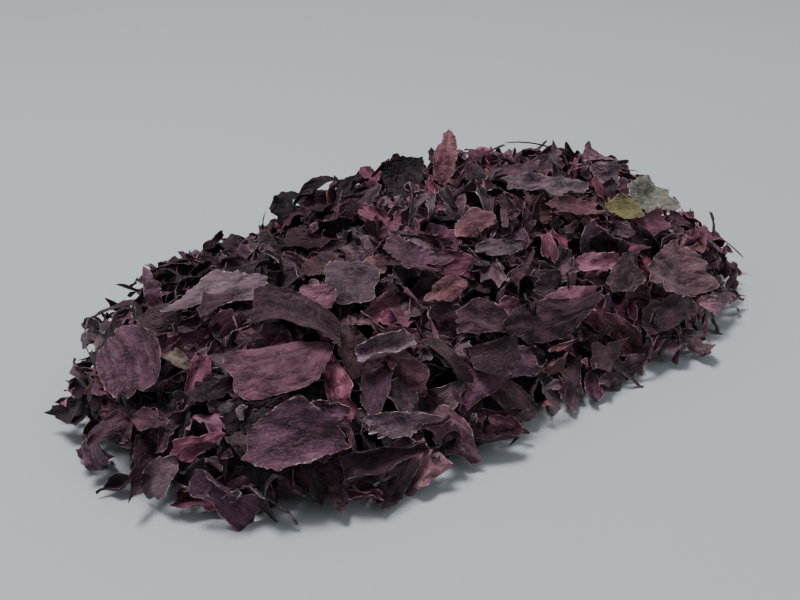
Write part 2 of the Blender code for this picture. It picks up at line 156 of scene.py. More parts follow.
# name: x, y, heading, length, width, kind, pitch, roll, gutter, arch, twist, ripple, colour
TOP_SCRAPS = {
    "front_apron": (-69, -43, -24, 22, 12, "torn", 0, 0, 0.2, 0.7, 0.1, 0.3, "plum"),
    "front_crumple": (-46, -47, -11, 18, 9, "sail", 0, 4, 0.7, 0.2, 0.3, 0.5, "grey_plum"),
    "front_roll": (-52, -50, -8, 19, 7, "strap", 0, 0, 1.9, 0.3, 0.4, 0.4, "plum"),
    "ruffle": (1, -42, -11, 27, 9, "torn", 0, 8, 0.4, 0.2, -0.2, 0.8, "plum"),
    "front_low": (-17, -46, 4, 13, 8, "lobe", 0, 0, 0.6, 0.2, 0.3, 0.3, "plum"),
    "right_low": (15, -49, -6, 15, 9, "sail", 0, 0, 0.5, 0.2, 0.2, 0.4, "brown"),
    "front_dark": (39, -49, -4, 18, 9, "torn", 0, 0, 0.5, 0.2, 0.2, 0.4, "plum"),
    "dark_wide": (-16, -40, -28, 16, 8, "torn", 0, 6, 0.5, 0.2, 0.2, 0.4, "plum"),
    "round_blade": (-87, -4, -116, 16, 15, "round", -8, -4, 0.25, 0.15, 0.1, 0.2, "plum"),
    "magenta_tail": (-84, -28, -12, 13, 7, "sail", 0, 8, 0.7, -0.3, 0.5, 0.5, "magenta"),
    "pink_curl": (-89, -16, -55, 11, 5, "leaf", 0, 0, 0.9, 0.2, 0.2, 0.4, "mauve"),
    "ragged_wing": (-85, 13, 150, 16, 9, "sail", -6, 22, 0.6, 0.1, 0.4, 0.5, "magenta"),
    "left_tip": (-77, 30, 165, 13, 5, "leaf", 8, 0, 0.5, 0.2, 0.2, 0.2, "plum"),
    "left_upright": (-70, 20, 60, 14, 6, "sail", 60, 0, 0.5, 0.2, 0.3, 0.2, "plum"),
    "left_stalk": (-92, 0, -97, 24, 2.4, "strap", 0, 0, 0.6, 0.4, 0.4, 0.0, "stalk"),
    "brown_flap": (-74, 7, -42, 11, 7, "torn", 0, 26, 0.3, 0.1, 0.2, 0.3, "brown"),
    "dark_fold": (-77, -22, -29, 11, 8, "sail", 0, 8, 1.2, 0.2, 0.3, 0.3, "plum"),
    "under_sail": (-66, -5, -43, 11, 7, "sail", 0, 4, 0.4, 0.2, 0.2, 0.3, "plum"),
    "mauve_lobe": (-62, -27, -19, 22, 12, "lobe", 0, 4, 0.15, 0.1, -0.1, 0.2, "mauve"),
    "plum_sail": (-61, 0, 164, 25, 13, "sail", 0, -10, 0.2, -0.1, 0.15, 0.2, "grey_plum"),
    "long_band": (-56, -21, -62, 25, 8, "strap", 0, 10, 0.3, 0.7, -0.3, 0.2, "grey_plum"),
    "mid_crumple": (-61, -40, -24, 12, 6, "torn", 0, 0, 0.7, 0.3, 0.2, 0.6, "plum"),
    "grey_square": (-37, -17, -40, 12, 11, "square", 3, 10, 0.15, 0.1, 0.05, 0.2, "grey_plum"),
    "pink_patch": (-46, -17, -34, 8, 6, "square", 2, 8, 0.2, 0.2, 0.1, 0.2, "mauve"),
    "cream_scrap": (-79, -11, -70, 7, 3.6, "torn", 0, 0, 0.8, 0.4, 0.6, 0.3, "cream"),
    "curled_pod": (-40, -35, -4, 14, 8, "lobe", 6, 0, 1.7, 0.2, 0.1, 0.2, "grey_plum"),
    "brown_strap": (-28, -41, -79, 15, 4, "strap", 0, 0, 0.7, 0.6, 0.5, 0.2, "brown"),
    "maroon_band": (-49, 22, -85, 13, 5, "strap", 0, 10, 0.5, 0.3, 0.5, 0.3, "magenta"),
    "dark_red_fold": (-36, 6, -59, 17, 8, "sail", 0, 22, 0.6, 0.1, 0.3, 0.4, "magenta"),
    "pink_pair": (-38, -6, -51, 11, 7, "torn", 4, 8, 0.4, 0.5, 0.2, 0.3, "red_brown"),
    "pink_point": (-29, -14, -10, 10, 6, "leaf", 6, 14, 0.3, 0.2, 0.2, 0.3, "red_brown"),
    "fan_fold": (-21, -19, -52, 18, 12, "sail", 5, 8, 0.3, 0.2, 0.2, 0.5, "plum"),
    "ragged_black": (-26, 22, -22, 17, 11, "sail", 12, 32, 0.5, 0.2, 0.4, 0.6, "plum"),
    "dark_curl": (-14, 16, 17, 12, 8, "torn", 16, 10, 1.5, 0.3, 0.3, 0.3, "plum"),
    "purple_blade": (-8, -37, -9, 12, 7, "torn", 0, 6, 0.4, 0.2, 0.2, 0.4, "mauve"),
    "red_point": (-19, -30, 2, 13, 6, "leaf", 0, 12, 0.4, 0.3, 0.3, 0.3, "red_brown"),
    "red_leaf": (1, -16, -7, 13, 7, "torn", 3, 6, 0.3, 0.2, 0.1, 0.3, "red_brown"),
    "magenta_knot": (-12, -23, -24, 10, 7, "torn", 8, 0, 0.9, 0.4, 0.6, 0.6, "magenta"),
    "centre_grey": (3, -24, -7, 17, 8, "sail", 0, 4, 0.5, 0.3, 0.2, 0.5, "grey_plum"),
    "scallop": (12, -39, -10, 16, 8, "torn", 0, 8, 0.5, -0.3, 0.2, 0.6, "mauve"),
    "olive_brown": (30, -41, 15, 13, 9, "torn", 0, 0, 0.4, 0.3, 0.3, 0.3, "brown"),
    "brown_shield": (49, -42, -12, 22, 15, "torn", 0, 2, 0.3, 0.2, 0.1, 0.4, "brown"),
    "canoe_red": (29, -21, -11, 22, 9, "leaf", 0, 4, 1.0, -0.2, 0.1, 0.2, "red_brown"),
    "pink_strip": (27, -34, -15, 13, 5, "square", 0, 8, 0.5, 0.1, 0.1, 0.2, "mauve"),
    "shelf_light": (30, -12, -11, 27, 9, "torn", 0, 12, 0.4, 0.2, 0.2, 0.8, "mauve"),
    "olive_leaf": (47, -24, -8, 11, 8, "torn", 0, 6, 0.3, 0.2, 0.1, 0.3, "olive"),
    "grey_green": (64, -18, -8, 19, 12, "torn", 4, 20, 0.2, 0.1, 0.1, 0.4, "grey_green"),
    "maroon_leaf": (57, -27, 2, 15, 7, "torn", 0, 8, 0.5, 0.2, 0.2, 0.4, "magenta"),
    "magenta_right": (82, -22, -28, 16, 11, "torn", 0, 8, 0.3, 0.3, 0.2, 0.4, "magenta"),
    "plum_ridge": (34, 5, -14, 19, 9, "sail", 6, 16, 0.4, 0.2, 0.2, 0.6, "plum"),
    "plum_square": (57, -8, -8, 9, 7, "square", 10, 44, 0.2, 0.1, 0.1, 0.2, "plum"),
    "red_upright": (7, 3, 35, 16, 7, "leaf", 64, 0, 0.35, 0.1, 0.3, 0.2, "red_brown"),
    "black_sail": (0, 12, 40, 15, 10, "sail", 44, 0, 0.3, 0.1, 0.2, 0.4, "plum"),
    "dark_twig": (21, 5, -30, 15, 2.0, "strap", 26, 0, 0.6, 0.1, 0.2, 0.0, "stalk"),
    "pale_twig": (-24, -23, -47, 13, 1.5, "strap", 6, 0, 0.6, 0.2, 0.2, 0.0, "mauve"),
    "top_twig": (55, 11, -28, 30, 2.0, "strap", -18, 0, 0.6, 0.4, 0.3, 0.0, "stalk"),
    "right_stalk": (88, -28, -35, 16, 2.4, "strap", 10, 0, 0.6, 0.1, 0.1, 0.0, "stalk"),
}


def out_from_line(x, y):
    """Distance from the line that the racetrack outline runs round."""
    return np.hypot(np.maximum(np.abs(x) - HALF_LINE, 0.0), y)


def heap_height(x, y):
    """Height of the heap's surface above the table."""
    out = out_from_line(x, y)
    crest = np.interp(x, CREST_X, CREST_HEIGHT)
    shoulder = np.interp(x, SHOULDER_X, SHOULDER_HEIGHT)
    mound = shoulder + (crest - shoulder) * (1.0 - (out / SHOULDER) ** 2)
    flank = shoulder * (FOOT - out) / (FOOT - SHOULDER)
    return np.maximum(np.where(out < SHOULDER, mound, flank), 0.0)


def core_height(x, y):
    """Height of the plain mound that the bed's scraps lie on."""
    share = np.clip(1.0 - (out_from_line(x, y) / CORE_FOOT) ** CORE_BLUNTNESS, 0.0, 1.0)
    return np.maximum(heap_height(x, y) - CORE_DEPTH, CORE_LOWEST) * np.sqrt(share)


def slope(x, y):
    """How steeply scraps lie along X and along Y: as the heap's surface, but flatter at its foot."""
    step = SLOPE_STEP
    flatter = np.interp(out_from_line(x, y), (SHOULDER, FOOT), (1.0, FOOT_SLOPE_SHARE))
    along = (heap_height(x + step, y) - heap_height(x - step, y)) / (2 * step)
    across = (heap_height(x, y + step) - heap_height(x, y - step)) / (2 * step)
    return flatter * along, flatter * across


def slope_normal(x, y):
    along, across = slope(x, y)
    return Vector((-float(along), -float(across), 1.0)).normalized()


def cornered_rim(turns, reaches, angle):
    """Distance from the middle to a rim of straight tears between corners, at each angle."""
    after = np.searchsorted(turns, angle) % len(turns)
    before = (after - 1) % len(turns)
    gap = (turns[after] - turns[before]) % FULL_TURN
    step = (angle - turns[before]) % FULL_TURN
    near, far = reaches[before], reaches[after]
    return near * far * np.sin(gap) / (near * np.sin(step) + far * np.sin(gap - step))


def rim_reach(scrap, angle):
    """Distance of a scrap's rim from its middle at each angle: 1 is half its length or half its width."""
    angle = angle % FULL_TURN
    if scrap.kind in CORNERS:
        turns, reaches = (np.array(values) for values in CORNERS[scrap.kind])
        shift = np.sin(SHIFT_PER_SEED * scrap.seed + SHIFT_PER_CORNER * np.arange(2 * len(turns)))
        turned = turns + TURN_SHIFT * (1.0 + shift[: len(turns)])
        return cornered_rim(turned, reaches * (1.0 + REACH_SHIFT * shift[len(turns):]), angle)
    if scrap.kind == "lobe":
        blunt = LOBE_BLUNTNESS - LOBE_CHANGE * np.cos(angle)
    else:
        blunt = BLUNTNESS[scrap.kind]
    plain = (np.abs(np.cos(angle)) ** blunt + np.abs(np.sin(angle)) ** blunt) ** (-1.0 / blunt)
    waves = sum(deep * np.sin(count * angle + step * scrap.seed) for deep, count, step in RIM_WAVES)
    return plain * (1.0 + waves)


def scrap_form(scrap, a, b):
    """Points of a scrap's mid surface in its own frame. a and b, from -1 to 1, cover a square."""
    angle = np.arctan2(b, a)
    reach = np.maximum(np.abs(a), np.abs(b)) * rim_reach(scrap, angle)
    along, across = reach * np.cos(angle), reach * np.sin(angle)
    sway = SWAY * scrap.width * math.sin(scrap.seed * SWAY_PER_SEED) * (1 - along**2)
    roll = max(abs(scrap.gutter), LEAST_BEND)
    radius = 0.5 * scrap.width / roll
    y = radius * np.sin(across * roll) + sway
    z = radius * (1 - np.cos(across * roll))
    z = z + scrap.ripple * across**2 * np.sin(SIDE_RIPPLE_WAVES * along + scrap.seed)
    soft = SOFT_RIPPLE_WAVES[0] * along + SOFT_RIPPLE_WAVES[1] * across
    z = z + SOFT_RIPPLE * scrap.ripple * np.sin(soft + scrap.seed)
    turn = scrap.twist * along
    y, z = y * np.cos(turn) - z * np.sin(turn), y * np.sin(turn) + z * np.cos(turn)
    bend = scrap.arch if abs(scrap.arch) > LEAST_BEND else LEAST_BEND
    radius = 0.5 * scrap.length / bend
    return (radius + z) * np.sin(along * bend), y, (radius + z) * np.cos(along * bend) - radius


def scrap_turn(scrap):
    """A scrap's rotation: laid on the heap's slope, pointed along its heading, then tilted."""
    up = slope_normal(scrap.x, scrap.y)
    angle = math.radians(scrap.heading)
    ahead = Vector((math.cos(angle), math.sin(angle), 0.0))
    ahead = (ahead - up * ahead.dot(up)).normalized()
    laid = Matrix((ahead, up.cross(ahead), up)).transposed()
    raised = Matrix.Rotation(math.radians(-scrap.pitch), 3, "Y")
    return laid @ raised @ Matrix.Rotation(math.radians(scrap.roll), 3, "X")


def placed_points(scrap, a, b):
    """A scrap's points, turned and moved to its place, at height zero."""
    local = np.stack([np.ravel(c) for c in scrap_form(scrap, a, b)], axis=1)
    return local @ np.array(scrap_turn(scrap)).T + (scrap.x, scrap.y, 0.0)


def square_of_points(along, across):
    return np.meshgrid(np.linspace(-1, 1, along), np.linspace(-1, 1, across), indexing="ij")


def sampled(scrap, samples):
    """So many placed points along and across a scrap."""
    return placed_points(scrap, *square_of_points(*samples))


def top_scraps():
    """The scraps on top, with the height at which each lies in the heap's surface."""
    tops = []
    for number, (name, values) in enumerate(TOP_SCRAPS.items()):
        scrap = Scrap(*values, seed=TOP_SEEDS[0] + TOP_SEEDS[1] * number)
        points = sampled(scrap, TOP_SAMPLES)
        rise = heap_height(points[:, 0], points[:, 1]) - points[:, 2]
        tops.append((name, scrap, float(np.quantile(rise, TOP_SINK_SHARE))))
    return tops


class HeightMap:
    """Heights of what has been laid so far and of what must stay clear above, on square cells."""

    def __init__(self, tops):
        self.shape = tuple(int(2 * half / CELL) for half in MAP_HALF)
        x, y = (np.arange(n) * CELL - half + CELL / 2 for n, half in zip(self.shape, MAP_HALF))
        x, y = np.meshgrid(x, y, indexing="ij")
        self.height = core_height(x, y)
        self.ceiling = heap_height(x, y) + STAND_PROUD
        for _, scrap, lift in tops:
            if out_from_line(scrap.x, scrap.y) < FOOT_RING[0]:
                points = sampled(scrap, COVER_SAMPLES)
                np.minimum.at(self.ceiling, self.cells(points), points[:, 2] + lift - TOP_GAP)

    def cells(self, points):
        found = ((points[:, :2] + MAP_HALF) / CELL).astype(int)
        return tuple(np.clip(found[:, i], 0, self.shape[i] - 1) for i in (0, 1))

    def lay(self, points):
        """Rests points on what is below, a share of them sunk in. Returns their lift, or None."""
        cells = self.cells(points)
        rest = float(np.quantile(self.height[cells] - points[:, 2], SINK_SHARE))
        lift = min(rest, float(np.quantile(self.ceiling[cells] - points[:, 2], CEILING_SHARE)))
        lift = max(lift, BLADE_THICKNESS - float(points[:, 2].min()))
        if lift < rest - MOST_PUSHED_DOWN:
            return None
        np.maximum.at(self.height, cells, points[:, 2] + lift + BLADE_THICKNESS / 2)
        return lift


def lowest_spot(draw, ground, ring=WHOLE_RING):
    """Of a few random places in a ring, the one that lies lowest below the heap's surface."""
    spots = []
    while len(spots) < CANDIDATES:
        x = draw.uniform(-HALF_LINE - FOOT, HALF_LINE + FOOT)
        y = draw.uniform(-FOOT, FOOT)
        if ring[0] <= out_from_line(x, y) < ring[1]:
            spots.append((x, y))
    near = np.array(spots)
    below = heap_height(near[:, 0], near[:, 1]) - ground.height[ground.cells(near)]
    along, across = slope(near[:, 0], near[:, 1])
    return spots[int(np.argmax(below / (1.0 + along**2 + across**2) ** SLOPE_WEIGHT))]


def bed_scraps(ground):
    """The bed's scraps and their heights, each laid where the heap is lowest below its surface."""
    draw = random.Random(BED_SEED)
    laid = []
    while len(laid) < BED_SCRAPS:
        x, y = lowest_spot(draw, ground, FOOT_RING if len(laid) < FOOT_SCRAPS else WHOLE_RING)
        length = draw.uniform(*BED_LENGTH)
        scrap = Scrap(
            x, y, draw.uniform(0, 360), length, length * draw.uniform(*BED_WIDTH_SHARE),
            draw.choice(BED_KINDS), draw.gauss(0, BED_TILT), draw.gauss(0, BED_TILT),
            draw.uniform(*BED_GUTTER), draw.uniform(*BED_ARCH), draw.uniform(*BED_TWIST),
            draw.uniform(*BED_RIPPLE), "plum", draw.uniform(*SEEDS),
        )
        lift = ground.lay(sampled(scrap, BED_SAMPLES))
        if lift is not None:
            laid.append((scrap, lift))
    return laid


# How the bed's scraps are drawn, against their solids. All are this thick in the middle and at the rim.
DRAWN_LENGTH = (0.80, 1.0)
DRAWN_WIDTH = (0.42, 0.70)
LEAF_THICKNESS = 0.24
RIM_THICKNESS = 0.12

# Each kind of finer scrap: how many are tried, length, width share, tilt, gutter, arch, twist, ripple,
# grid cells. The narrow ones are straps, and they are all shorter further to the right.
FILLERS = {
    "leaf": (330, (8.0, 16.0), (0.38, 0.70), 22.0, (-0.4, 1.3), (-0.5, 0.9), 0.30, (0.2, 0.8), (16, 9)),
    "fold": (290, (7.0, 14.0), (0.30, 0.55), 30.0, (0.8, 2.6), (-0.4, 0.7), 0.48, (0.2, 0.7), (14, 8)),
    "strip": (120, (7.0, 15.0), (0.12, 0.22), 24.0, (0.2, 1.4), (-0.8, 0.8), 0.60, (0.1, 0.4), (12, 3)),
    "thread": (90, (6.0, 14.0), (0.04, 0.07), 30.0, (0.2, 0.8), (-1.0, 1.0), 0.60, (0.0, 0.2), (12, 2)),
    "crumb": (260, (2.2, 5.0), (0.40, 0.85), 30.0, (-0.3, 1.6), (-0.4, 0.6), 0.36, (0.1, 0.5), (6, 4)),
}
FILLER_SEED = 23
FINER_TO_RIGHT = 0.0022
FILLER_OUTLINES = ("torn", "torn", "torn", "sail", "square")
FILLER_STRAP_WIDTH = 3.0

# Fillers leave this room under the middle of the scraps on top.
ROOM_UNDER_TOPS = 1.6
COVERING_SHARE = 0.95

# The grid cells along and across a drawn scrap. Scraps narrower than STALK_WIDTH are drawn narrower
# than their solids. A piece holds LARGEST_GROUP scraps at most.
BED_CELLS = (22, 13)
TOP_CELLS = (38, 22)
STALK_CELLS = (38, 4)
STALK_WIDTH = 3.0
DRAWN_STALK_WIDTH = 0.6
LARGEST_GROUP = 120

# The first number of a drawn scrap's random key. The second is its place in its list.
BED_KEY, FILLER_KEY, TOP_KEY, RIDGE_KEY = 1, 2, 3, 4

# Where a scrap comes up through one on top by less than MOST_POKING, the whole scrap drops by up to
# MOST_DROP, and what still pokes through is pressed down under it.
MOST_POKING = 8.0
MOST_DROP = 3.0
UNDER_TOPS = 0.35
LOWEST = 0.05

# How strongly scraps are crinkled: those on top and on the ridge by their ripple too.
BED_CRINKLE = 1.15
FILLER_CRINKLE = 1.35
TOP_CRINKLE = 0.35
RIDGE_CRINKLE = 0.5
CRINKLE_PER_RIPPLE = 0.9

# Edges sharper than SHARP_FROM degrees look creased. Random scraps are brighter further to the right.
SHARP_FROM = 20.0
LIGHTER_TO_RIGHT = 0.0016

# How common each colour is at the heap's left and right ends. Between them it changes evenly over
# COLOUR_SPAN.
COLOUR_SPAN = 120.0
COLOUR_SHARES = {
    "plum": (50, 28), "grey_plum": (20, 12), "mauve": (10, 25), "magenta": (4, 13),
    "red_brown": (3, 9), "brown": (9, 11),
}


def mixed_colour(draw, x):
    share = min(1.0, max(0.0, 0.5 + x / COLOUR_SPAN))
    weights = [left + (right - left) * share for left, right in COLOUR_SHARES.values()]
    return draw.choices(list(COLOUR_SHARES), weights)[0]


def drawn_bed(bed):
    """The bed's scraps as they are drawn: narrower than their solids, and coloured."""
    draw = random.Random(BED_SEED + 1)
    drawn = []
    for scrap, lift in bed:
        scrap = scrap._replace(
            length=scrap.length * draw.uniform(*DRAWN_LENGTH),
            width=scrap.width * draw.uniform(*DRAWN_WIDTH),
            colour=mixed_colour(draw, scrap.x),
        )
        drawn.append((scrap, lift))
    return drawn


def filled_ground(drawn, tops):
    """The heap with its drawn scraps laid, and the room left under the scraps on top."""
    ground = HeightMap([])
    for scrap, lift in drawn:
        points = sampled(scrap, DRAWN_SAMPLES)
        np.maximum.at(ground.height, ground.cells(points), points[:, 2] + lift)
    for _, scrap, lift in tops:
        a, b = square_of_points(*COVER_SAMPLES)
        points = placed_points(scrap, COVERING_SHARE * a, COVERING_SHARE * b)
        np.minimum.at(ground.ceiling, ground.cells(points), points[:, 2] + lift - ROOM_UNDER_TOPS)
    return ground


def filler_scraps(ground):
    """Finer scraps laid in the low places between the others, under the scraps on top."""
    draw = random.Random(FILLER_SEED)
    order = [kind for kind, facts in FILLERS.items() for _ in range(facts[0])]
    draw.shuffle(order)
    order.sort(key=lambda kind: kind == "crumb")
    laid = []
    for kind in order:
        _, lengths, shares, tilt, gutters, arches, twist, ripples, cells = FILLERS[kind]
        x, y = lowest_spot(draw, ground)
        length = draw.uniform(*lengths) * (1.0 - FINER_TO_RIGHT * x)
        scrap = Scrap(
            x, y, draw.uniform(0, 360), length, length * draw.uniform(*shares),
            draw.choice(FILLER_OUTLINES) if length * shares[1] > FILLER_STRAP_WIDTH else "strap",
            draw.gauss(0, tilt), draw.gauss(0, tilt),
            draw.uniform(*gutters), draw.uniform(*arches), draw.gauss(0, twist),
            draw.uniform(*ripples), mixed_colour(draw, x), draw.uniform(*SEEDS),
        )
        lift = ground.lay(sampled(scrap, FILLER_SAMPLES))
        if lift is not None:
            laid.append((scrap, lift, cells))
    return laid


def triangle_wave(t):
    return 2.0 * np.abs(2.0 * (t - np.floor(t + 0.5))) - 1.0


# How strongly the rims of the smoother outlines are torn, against the others.
RIM_ROUGHNESS = {"strap": 0.4, "lobe": 0.45, "round": 0.6, "leaf": 0.9, "square": 0.8}

# A torn rim runs in and out between so many random corners, about so deep. It has a few notches too.
RIM_TEARS = ((5, 0.070), (13, 0.045), (61, 0.036))
MOST_NOTCHES = 3
NOTCH_DEPTH = (0.10, 0.40)
NOTCH_HALF_ANGLE = (0.08, 0.30)


def torn_rim(angle, draw, kind):
    """How far a torn rim runs in or out of its plain outline, at each angle, as a share of its reach."""
    rough = RIM_ROUGHNESS.get(kind, 1.0)
    around = angle % FULL_TURN
    torn = np.zeros_like(angle)
    for knots, depth in RIM_TEARS:
        turns = np.sort(draw.uniform(0.0, FULL_TURN, knots))
        torn += np.interp(around, turns, draw.normal(0.0, depth, knots), period=FULL_TURN)
    for _ in range(draw.integers(0, MOST_NOTCHES + 1)):
        apart = np.abs((around - draw.uniform(0.0, FULL_TURN) + math.pi) % FULL_TURN - math.pi)
        deepest = draw.uniform(*NOTCH_DEPTH)
        torn -= deepest * np.clip(1.0 - apart / draw.uniform(*NOTCH_HALF_ANGLE), 0.0, 1.0)
    return rough * torn


# Creases along and across a scrap: how many, how far they stray and run off its middle, and how steep
# their sides are.
UP_OR_DOWN = (-1.0, 1.0)
LONG_CREASES = (3, 7)
LONG_STRAY = 0.8
LONG_OFF = (-0.5, 0.5)
LONG_STEEP = (0.08, 0.32)
CROSS_CREASES = 2
CROSS_STRAY = 0.5
CROSS_OFF = (-0.4, 0.4)
CROSS_STEEP = 0.17

# Wide flutes: how many, how far they stray, and how wide, bowed and deep they are.
FLUTES = 3
FLUTE_STRAY = 0.7
FLUTE_WIDTH = (2.4, 7.0)
FLUTE_BOW = 0.06
FLUTE_DEPTH = 0.055
FLUTE_DEPTH_SHARE = (0.3, 1.0)

# Narrow flutes that spread like a fan, on a share of the scraps.
FANNED = 0.35
FAN_WIDTH = (1.6, 2.6)
FAN_SPREAD = 0.25
FAN_DEPTH = (0.10, 0.22)

# One side of a scrap curls up or down: where that starts and ends on the way out, and how far it goes.
CURL_FROM = (0.3, 0.7)
CURL_LENGTH = 1.2
CURL_HEIGHT = (0.3, 2.2)

# The rim's ruffles: how long and how high they are, and how fast they fade inwards.
RUFFLE_LENGTH = (3.0, 7.0)
RUFFLE_HEIGHT = (0.1, 0.75)
RUFFLE_FADE = 5
LEAST_RUFFLES = 3

# Narrower scraps than this are crinkled less.
FULL_CRINKLE_WIDTH = 6.0


def beside(u, v, turn):
    """How far points lie beside a line through a scrap's middle."""
    return v * math.cos(turn) + u * math.sin(turn)


def crinkle(scrap, u, v, size, angle, draw):
    """How far a dried scrap's surface stands off its plain form."""
    reach = 0.5 * math.sqrt(scrap.length * scrap.width)
    off = np.zeros_like(u)
    for _ in range(draw.integers(*LONG_CREASES)):
        turn = draw.normal(0.0, LONG_STRAY)
        apart = beside(u, v, turn) - draw.uniform(*LONG_OFF) * scrap.width
        off += draw.choice(UP_OR_DOWN) * draw.uniform(*LONG_STEEP) * np.abs(apart)
    for _ in range(CROSS_CREASES):
        turn = draw.normal(math.pi / 2, CROSS_STRAY)
        apart = beside(u, v, turn) - draw.uniform(*CROSS_OFF) * scrap.length
        off += draw.normal(0.0, CROSS_STEEP) * np.abs(apart)
    for _ in range(FLUTES):
        turn = draw.normal(0.0, FLUTE_STRAY)
        span = draw.uniform(*FLUTE_WIDTH)
        bowed = FLUTE_BOW * draw.normal() * (u * math.cos(turn) - v * math.sin(turn)) ** 2
        depth = FLUTE_DEPTH * span * draw.uniform(*FLUTE_DEPTH_SHARE)
        off += depth * triangle_wave((beside(u, v, turn) + bowed) / span + draw.random())
    if draw.random() < FANNED:
        span = draw.uniform(*FAN_WIDTH)
        fan = 1.0 + FAN_SPREAD * draw.normal() * u / scrap.length
        off += draw.uniform(*FAN_DEPTH) * triangle_wave(v * fan / span + draw.random())
    toward = draw.uniform(0, FULL_TURN)
    past = (u * math.cos(toward) + v * math.sin(toward)) / reach - draw.uniform(*CURL_FROM)
    off += draw.choice(UP_OR_DOWN) * draw.uniform(*CURL_HEIGHT) * np.clip(past, 0.0, CURL_LENGTH) ** 2
    span = draw.uniform(*RUFFLE_LENGTH)
    waves = max(LEAST_RUFFLES, round(FULL_TURN * reach / span))
    height = draw.uniform(*RUFFLE_HEIGHT) * size**RUFFLE_FADE
    off += height * triangle_wave(waves * angle / FULL_TURN + draw.random())
    return (off - off.mean()) * min(1.0, scrap.width / FULL_CRINKLE_WIDTH)


def surface_normals(points):
    """Unit normals at a grid's points, from the faces round each."""
    faces = np.cross(points[1:, 1:] - points[:-1, :-1], points[:-1, 1:] - points[1:, :-1])
    facing = np.zeros_like(points)
    for part in (np.s_[:-1, :-1], np.s_[1:, :-1], np.s_[:-1, 1:], np.s_[1:, 1:]):
        facing[part] += faces
    return facing / np.maximum(np.linalg.norm(facing, axis=2, keepdims=True), 1e-9)


def cover_of(flakes):
    """The heights under the scraps on top, as the ceiling of a map that is open elsewhere."""
    cover = HeightMap([])
    cover.ceiling[:] = np.inf
    for flake in flakes:
        np.minimum.at(cover.ceiling, cover.cells(flake.points), flake.points[:, 2] - UNDER_TOPS)
    return cover


def tucked(flake, cover):
    """A flake lowered until it no longer pokes up through the scraps on top."""
    below = cover.ceiling[cover.cells(flake.points)]
    above = flake.points[:, 2] - below
    poking = (above > 0) & (above < MOST_POKING)
    if poking.any():
        flake.points[:, 2] -= min(MOST_DROP, above[poking].max())
        flake.points[poking, 2] = np.minimum(flake.points[poking, 2], below[poking])
        flake.points[:, 2] = np.maximum(flake.points[:, 2], LOWEST)
    return flake


# A drawn scrap. The materials read grain, a point's place along, across and between scraps, tint, the
# scrap's brightness, hue and saturation, and rim, the distance to its rim.
Flake = namedtuple("Flake", "points faces grain tint rim")
MIDDLE_TINT = (0.5, 0.5)

# How fast the tears and the thinness of a rim fade inwards, and the least size that is divided by.
TEAR_FADE = 3
THIN_FADE = 6
LEAST_SIZE = 0.01

# How far apart scraps lie in the materials' patterns.
GRAIN_PER_SEED = 7.3
GRAIN_PER_KEY = 13.1
GRAIN_KEYS = 97


def fine_scrap(scrap, lift, cells, key, strength, shade=None):
    """A scrap as a closed thin blade. shade is its brightness, where that isn't random."""
    draw = np.random.default_rng(key)
    if shade is None:
        tint = draw.random(3) + (LIGHTER_TO_RIGHT * scrap.x, 0.0, 0.0)
    else:
        tint = (shade, *MIDDLE_TINT)
    a, b = square_of_points(cells[0] + 1, cells[1] + 1)
    angle = np.arctan2(b, a)
    size = np.maximum(np.abs(a), np.abs(b))
    torn = 1.0 + torn_rim(angle, draw, scrap.kind) * size**TEAR_FADE
    local = np.stack(scrap_form(scrap, torn * a, torn * b), axis=2)
    reach = torn * size * rim_reach(scrap, angle)
    u = 0.5 * scrap.length * reach * np.cos(angle)
    v = 0.5 * scrap.width * reach * np.sin(angle)
    local += surface_normals(local) * strength * crinkle(scrap, u, v, size, angle, draw)[..., None]
    half = 0.5 * (RIM_THICKNESS + (LEAF_THICKNESS - RIM_THICKNESS) * (1.0 - size**THIN_FADE))
    facing = surface_normals(local) * half[..., None]
    turn = np.array(scrap_turn(scrap)).T
    sides = [side.reshape(-1, 3) @ turn for side in (local + facing, local - facing)]
    points = np.concatenate(sides) + (scrap.x, scrap.y, lift)
    points[:, 2] = np.maximum(points[:, 2], LOWEST)

    columns, rows = a.shape
    number = np.arange(columns * rows).reshape(columns, rows)
    quads = np.stack([number[:-1, :-1], number[1:, :-1], number[1:, 1:], number[:-1, 1:]], axis=2)
    quads = quads.reshape(-1, 4)
    below = columns * rows
    ring = np.concatenate([number[:-1, 0], number[-1, :-1], number[:0:-1, -1], number[0, :0:-1]])
    after = np.roll(ring, -1)
    edge = np.stack([after, ring, ring + below, after + below], axis=1)
    faces = np.concatenate([quads, quads[:, ::-1] + below, edge])

    patch = GRAIN_PER_SEED * scrap.seed + GRAIN_PER_KEY * (key[-1] % GRAIN_KEYS)
    place = np.stack([u.ravel(), v.ravel(), np.full(u.size, patch)], axis=1)
    tint = np.broadcast_to(tint, (2 * u.size, 3))
    rim = ((1.0 / np.maximum(size, LEAST_SIZE) - 1.0) * np.hypot(u, v)).ravel()
    return Flake(points, faces, np.concatenate([place, place]), tint, np.concatenate([rim, rim]))


